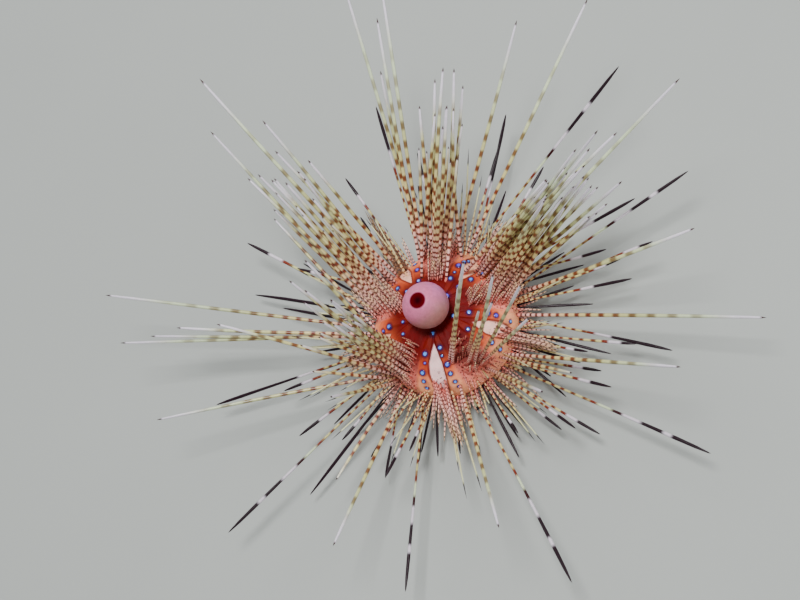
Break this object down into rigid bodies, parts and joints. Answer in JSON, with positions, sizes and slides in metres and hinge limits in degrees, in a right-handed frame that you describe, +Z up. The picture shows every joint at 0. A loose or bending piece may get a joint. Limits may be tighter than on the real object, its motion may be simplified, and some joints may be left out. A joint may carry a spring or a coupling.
{
  "type": "blue-spotted sea urchin",
  "caption": "Young fire urchin standing on its under spines: low round shell, ball-shaped anal sac on top and long banded spines fanning out in five sheaves.",
  "frame": {"origin": "on the floor under the middle of the whole model's box; the shell's upright axis stands a little to one side of it, because the spines reach farther on one side", "axes": "+Z up along the shell's axis, from the mouth to the anal sac; -Y is the side the picture looks from"},
  "size_m": [0.1364, 0.125, 0.063],
  "materials": {
    "coral_skin": "moist coral-red skin with azure spots ringed in violet",
    "banded_spines": "satin calcite, banded dark red-brown and cream, paler to the tip",
    "sac_membrane": "taut, faintly see-through pink-lilac membrane with a dark maroon opening",
    "tooth_ivory": "satin ivory"
  },
  "bodies": {
    "root": {"anal_sac": "sac_membrane", "apical_disc": "coral_skin", "peristome": "coral_skin", "tooth_1": "tooth_ivory", "tooth_2": "tooth_ivory", "tooth_3": "tooth_ivory", "tooth_4": "tooth_ivory", "tooth_5": "tooth_ivory", "ambulacrum_1": "banded_spines", "ambulacrum_2": "banded_spines", "ambulacrum_3": "banded_spines", "ambulacrum_4": "banded_spines", "ambulacrum_5": "banded_spines", "interambulacrum_1": "banded_spines", "interambulacrum_2": "banded_spines", "interambulacrum_3": "banded_spines", "interambulacrum_4": "banded_spines", "interambulacrum_5": "banded_spines"}
  },
  "joints": []
}
